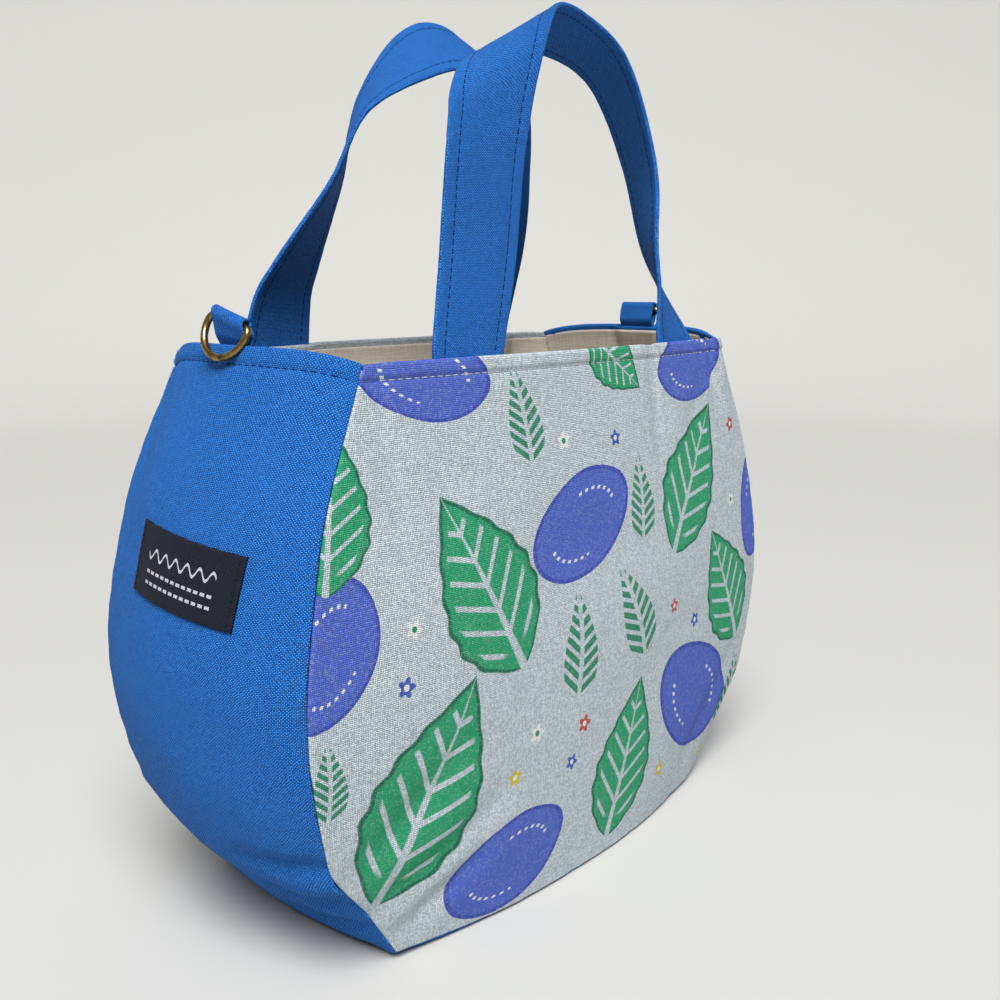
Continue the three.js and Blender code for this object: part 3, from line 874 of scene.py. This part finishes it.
def lining_spot(u, v, side):
    z = v
    x = u * (half_width(z) - 0.5 * lining_inset(z, 0))
    near = strap_slot(x, side)
    face = panel_face(x, z, side)
    beside = ease(0, 10, half_width(z) - 2 - abs(x))
    gather = 0.2 * ripple(x / 6, z / 14, 2) * ease(-14, 0, z - lining_top)
    sag = 0.5 * ripple(x / 30, z / 34, 21 * side) + gather
    folded = min(panel_relief(x, z, side), 0) * ease(0, 10, z)
    y = face.y - side * (lining_inset(z, near) + sag * beside * (1 - near) - folded)
    return Vector((x, y, face.z + 2.5 * (1 - z / rim))), Vector((0, -side, 0)), (x, z)


def lining_strip_spot(u, v):
    side, h, flat = v
    if side == 0:
        wide = half_depth(0) + panel_swell(0) * (1 - h * h) - floor_inset
        y = u * wide
        spot = Vector((h * (foot_half + 1), y, lining_floor + edge_lift(wide - abs(y), 0)))
        return spot, Vector((0, 0, 1)), (y, flat)
    y = u * (half_depth(h) - lining_inset(h, 0) + 0.6)
    near = slot_at(y, tab_half)
    face = gusset_face(y, h, side)
    beside = ease(0, 10, half_depth(h) - 4 - abs(y))
    gather = 0.2 * ripple(y / 6, h / 14, 3) * ease(-14, 0, h - lining_top)
    sag = 0.5 * ripple(y / 30, h / 34, 31 * side) + gather
    folded = min(gusset_relief(y, h, side), 0) * ease(0, 10, h)
    x = face.x - side * (lining_inset(h, 0.7 * near) + sag * beside * (1 - near) - folded)
    return Vector((x, y, face.z + 2.5 * (1 - h / rim))), Vector((-side, 0, 0)), (y, flat)


lining_rows = span(0, lining_top - 14, 40)[:-1] + span(lining_top - 14, lining_top, 16)
linings = {}
for side, name in ((-1, "front"), (1, "back")):
    linings[name] = cloth_sheet(
        f"lining_{name}", span(-side, side, 90), lining_rows, lambda u, v, s=side: lining_spot(u, v, s)
    )
lining_stations = [(-1, h, -foot_half - h) for h in reversed(lining_rows)]
lining_stations += [(0, along, along * foot_half) for along in span(-1, 1, 40)[1:-1]]
lining_stations += [(1, h, foot_half + h) for h in lining_rows]
linings["side"] = cloth_sheet("lining_strip", span(1, -1, 56), lining_stations, lining_strip_spot)

cotton, tree, shader, flat, threads = cloth_material("lining_cotton", cotton_pitch)
slub = fade(tree, threads["Slub"], 0.35, 0.65)
plain = tint(tree, slub, colour("c6bcaa"), colour("d8cfbf"))
shade = times(tree, fade(tree, threads["Height"], 0.5, 0.1), 0.25)
tree.links.new(tint(tree, shade, plain, colour("9b9080")), shader.inputs["Base Color"])
tree.links.new(maths(tree, "MULTIPLY_ADD", threads["Slub"], -0.15, 0.95), shader.inputs["Roughness"])
raise_threads(tree, shader, threads["Height"], 0.15, 0.5)
for name, cloth in linings.items():
    thicken(cloth, 0.6)
    coat(cloth, cotton)
    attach(cloth, "bag")
    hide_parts(f"{name}_lining")

# Ring tabs and D-rings
# At the middle of each gusset rim a folded strip of canvas holds a D-ring of bent wire with an antique brass
# finish. The tab's two ends are sewn into the rim, and the ring swings freely in the fold.

tab_rise, tab_lean, tab_inset, tab_sewn = 6.5, 0.06, 2.1, 9
ring_wire, ring_gap, ring_reach, ring_drop = 2.2, 16.0, 11.0, math.radians(66)
tab_tilts = {"left": math.radians(14), "right": 0.0}
eye_inner, tab_cloth, fold_top = 1.5, 0.75, 7.4
eye_bend = eye_inner + 0.42
torus_wire = 0.25


def tab_line(side, tilt, y, h):
    """Middle of a tab at height h over the rim: between its two layers, leaning outward."""
    wall = gusset_face(y, rim + min(h, 0), side)
    above = max(h, 0)
    lean = tab_lean * min(above, tab_rise) ** 2 / 2
    x = wall.x - side * tab_inset + side * lean
    return Vector((x, y, wall.z + above + y * math.tan(tilt) * min(above / tab_rise, 1)))


def tab_profile():
    """Height and offset from the tab's middle, up one layer, round the fold and down the other."""
    up = [(h, 0.33 + (eye_inner + 0.1) * ease(-1.0, 2.4, h)) for h in span(-tab_sewn, fold_top - 0.4, 20)]
    eye = [(fold_top + eye_bend * math.sin(a), eye_bend * math.cos(a)) for a in span(0, math.pi, 16)]
    return up + eye + [(h, -off) for h, off in reversed(up)]


half_tab = [tab_half, 7.4, 7.1, 6.4, 5, 2.5]
tab_across = [-off for off in half_tab] + [0] + half_tab[::-1]
pivots = {}
for side, name in ((-1, "left"), (1, "right")):
    tilt = tab_tilts[name]

    def tab_spot(u, v):
        h, off, at = v
        spot = tab_line(side, tilt, u, h)
        wave = 0.12 * ripple(u / 4, at / 5, 8 + side)
        return spot + Vector((side * (off + wave), 0, 0)), Vector((side, 0, 0)), (u, at)

    profile = tab_profile()
    length, stations = 0.0, []
    for k, (h, off) in enumerate(profile):
        if k:
            length += math.hypot(h - profile[k - 1][0], off - profile[k - 1][1])
        stations.append((h, off, length))
    tab = cloth_sheet(f"{name}_tab", tab_across if side > 0 else tab_across[::-1], stations, tab_spot)
    thicken(tab, tab_cloth)
    coat(tab, canvas)
    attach(tab, "bag")
    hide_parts(f"{name}_ring_tab")
    pivots[name] = tab_line(side, tilt, 0.0, tab_rise)


def ring_outline(share):
    """Point of the D at a share of the way round: up the straight bar, round the bow and back."""
    half, bend = (ring_gap + ring_wire) / 2, ring_wire
    bow = math.pi * (ring_reach - bend + half) / 2
    lengths = [2 * (half - bend), bend * 1.6, bow, bend * 1.6]
    at = (share % 1) * sum(lengths)
    if at < lengths[0]:
        return Vector((0, at - half + bend, 0))
    at -= lengths[0]
    if at < lengths[1]:
        f = at / lengths[1]
        return Vector((bend * f * f, half - bend * (1 - f) ** 2, 0))
    at -= lengths[1]
    if at < lengths[2]:
        a = math.pi / 2 - math.pi * at / lengths[2]
        return Vector((bend + (ring_reach - bend) * math.cos(a), half * math.sin(a), 0))
    f = (at - lengths[2]) / lengths[3]
    return Vector((bend * (1 - f) ** 2, -half + bend * f * f, 0))


brass, tree, shader = new_material("antique_brass")
spot = add_node(tree, "TexCoord").outputs["Object"]
aged = add_node(tree, "TexNoise", {"Vector": spot, "Scale": 420.0, "Detail": 4.0}).outputs[0]
fine = add_node(tree, "TexNoise", {"Vector": spot, "Scale": 1600.0, "Detail": 2.0}).outputs[0]
patina = fade(tree, aged, 0.38, 0.68)
tree.links.new(tint(tree, patina, colour("a58a55"), colour("5d4a2c")), shader.inputs["Base Color"])
tree.links.new(maths(tree, "MULTIPLY_ADD", patina, 0.22, 0.26), shader.inputs["Roughness"])
shader.inputs["Metallic"].default_value = 1.0
raise_threads(tree, shader, fine, 0.03, 0.3)
for side, name in ((-1, "left"), (1, "right")):
    bpy.ops.object.select_all(action="DESELECT")
    bpy.ops.mesh.primitive_torus_add(
        major_segments=96, minor_segments=16, major_radius=1.0, minor_radius=torus_wire, generate_uvs=False
    )
    ring = bpy.context.object
    ring.name = ring.data.name = f"{name}_ring_wire"
    turn = Matrix.Rotation(math.pi - ring_drop if side < 0 else ring_drop, 3, "Y")
    tilt = Matrix.Rotation(tab_tilts[name], 3, "X")
    for vertex in ring.data.vertices:
        x, y, z = vertex.co
        share = math.atan2(y, x) / (2 * math.pi)
        forward = (ring_outline(share + 0.004) - ring_outline(share - 0.004)).normalized()
        outward = Vector((forward.y, -forward.x, 0))
        reach = (math.hypot(x, y) - 1) / torus_wire
        above = Vector((0, 0, z / torus_wire * ring_wire / 2))
        local = ring_outline(share) + outward * reach * ring_wire / 2 + above
        vertex.co = (pivots[name] + tilt @ turn @ local) * mm
    bpy.ops.object.mode_set(mode="EDIT")
    bpy.ops.mesh.select_all(action="SELECT")
    bpy.ops.mesh.normals_make_consistent(inside=False)
    bpy.ops.object.mode_set(mode="OBJECT")
    bpy.ops.object.shade_smooth()
    ring.data.materials.append(brass)
    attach(ring, f"{name}_ring")
    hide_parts(f"{name}_d_ring")

# Topstitching
# One row of stitches closes the rim all round: navy thread on the canvas, pale thread on the print. The
# straps have a row along each edge, on both faces, and the label is sewn down along its ends.


def stitches(name, row, thread, material):
    """Short threads lying between the spots of a row, each given as a point and the way its cloth faces."""
    bpy.ops.object.select_all(action="DESELECT")
    bpy.ops.mesh.primitive_uv_sphere_add(segments=8, ring_count=6, radius=1)
    one = bpy.context.object
    bpy.ops.object.shade_smooth()
    whole = bmesh.new()
    for (a, out_a), (b, out_b) in row:
        out = (out_a + out_b).normalized()
        forward = (b - a).normalized()
        out = (out - forward * out.dot(forward)).normalized()
        aside = out.cross(forward)
        size = ((b - a).length * 0.4, thread * 0.5, thread * 0.42)
        middle = (a + b) / 2 + out * thread * 0.1
        lie = Matrix.Translation(middle * mm) @ Matrix((forward, aside, out)).transposed().to_4x4()
        lie = lie @ Matrix.Diagonal((size[0] * mm, size[1] * mm, size[2] * mm, 1))
        count = len(whole.verts)
        whole.from_mesh(one.data)
        whole.verts.ensure_lookup_table()
        bmesh.ops.transform(whole, matrix=lie, verts=whole.verts[count:])
    whole.to_mesh(one.data)
    whole.free()
    one.name = one.data.name = name
    coat(one, material)
    return one


def pairs_along(spots):
    return list(zip(spots, spots[1:]))


def thread_material(name, dark, light):
    material, tree, shader = new_material(name)
    spot = add_node(tree, "TexCoord").outputs["Object"]
    twist = add_node(tree, "TexNoise", {"Vector": spot, "Scale": 2600.0, "Detail": 2.0}).outputs[0]
    twisted = tint(tree, fade(tree, twist, 0.35, 0.65), colour(dark), colour(light))
    tree.links.new(twisted, shader.inputs["Base Color"])
    tree.links.new(maths(tree, "MULTIPLY_ADD", twist, 0.3, 0.5), shader.inputs["Roughness"])
    shader.inputs["Specular IOR Level"].default_value = 0.1
    raise_threads(tree, shader, twist, 0.05, 0.4)
    return material


navy_thread = thread_material("navy_thread", "0a2152", "143574")
pale_thread = thread_material("pale_thread", "8f9ba3", "bccad2")
stitch_pitch = 2.9
stitch_height = rim - stitch_drop


def rim_row(half, short, spot_at):
    """The rim's stitches across one cloth of a half width, which stop short of its seams."""
    ends = half(rim) - short
    inner = half(stitch_height) - seam_margin
    count = round(2 * ends / stitch_pitch)
    return pairs_along([spot_at((off / inner, None))[:2] for off in span(-ends, ends, count)])


for side, name in ((-1, "front"), (1, "back")):
    row = rim_row(half_width, 4.5, lambda u: panel_spot(u, (stitch_height, None), side))
    sewn = stitches(f"rim_stitches_{name}", row, 0.4, pale_thread)
    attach(sewn, "bag")
for side, name in ((-1, "left"), (1, "right")):
    row = rim_row(half_depth, 1.6, lambda u: strip_spot(u, (side, stitch_height, 0)))
    sewn = stitches(f"rim_stitches_{name}", row, 0.5, navy_thread)
    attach(sewn, "bag")
for name, (strap, path) in handles.items():
    seams = []
    visible = [v for v in path if v[0].z > rim - 2]
    step = round(2.6 / strap_step)
    for off in (-strap_stitch, strap_stitch):
        for sign in (1, -1):
            spots = [strap_spot((off, sign), v)[:2] for v in visible[::step]]
            seams += pairs_along(spots)
    sewn = stitches(f"{name}_strap_stitches", seams, 0.42, navy_thread)
    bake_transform(sewn)
row = []
for off in (-label_wide / 2 + 1.6, label_wide / 2 - 1.6):
    spots = [label_spot((off, 1.0), (b, 1.0))[:2] for b in span(-label_tall / 2 + 1, label_tall / 2 - 1, 9)]
    row += pairs_along(spots)
sewn = stitches("label_stitches", row, 0.35, thread_material("black_thread", "0c0f1a", "1d2233"))
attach(sewn, "bag")

# Studio
# A plain pale floor that sweeps up all round, broad soft light from high on the left of the camera, and a
# lamp above.

bpy.ops.object.select_all(action="DESELECT")
bpy.ops.mesh.primitive_grid_add(x_subdivisions=80, y_subdivisions=80, size=7)
floor = bpy.context.object
for vertex in floor.data.vertices:
    vertex.co.z = min(0.7 * max(vertex.co.xy.length - 1.25, 0) ** 2, 2.4)
bpy.ops.object.shade_smooth()
floor.name = "floor"
paper, tree, shader = new_material("pale_paper")
shader.inputs["Base Color"].default_value = colour("c2c1bd")
shader.inputs["Roughness"].default_value = 0.9
floor.data.materials.append(paper)

bpy.ops.object.light_add(type="SUN")
key = bpy.context.object
key.name = "key_lamp"
key.data.energy = 3.3
key.data.angle = math.radians(32)
key.rotation_euler = Vector((0.5, 0.5, -1)).to_track_quat("-Z", "Y").to_euler()
bpy.ops.object.light_add(type="AREA", location=(-0.42, -0.4, 0.95))
near_lamp = bpy.context.object
near_lamp.name = "near_lamp"
near_lamp.data.size = 0.5
near_lamp.data.energy = 5.0
near_lamp.rotation_euler = (Vector((0, 0, 0.14)) - near_lamp.location).to_track_quat("-Z", "Y").to_euler()
world = bpy.data.worlds.new("studio")
bpy.context.scene.world = world
world.use_nodes = True
world.node_tree.nodes["Background"].inputs[0].default_value = (0.86, 0.9, 0.95, 1)
world.node_tree.nodes["Background"].inputs[1].default_value = 0.18

bpy.ops.object.camera_add(
    location=(-0.2852, -0.2610, 0.2011), rotation=(math.radians(78.65), 0, math.radians(-48.81))
)
camera = bpy.context.object
camera.data.sensor_width = 36
camera.data.lens = 38.89
camera.data.clip_start = 0.01
bpy.context.scene.camera = camera
bpy.context.scene.view_settings.view_transform = "Standard"
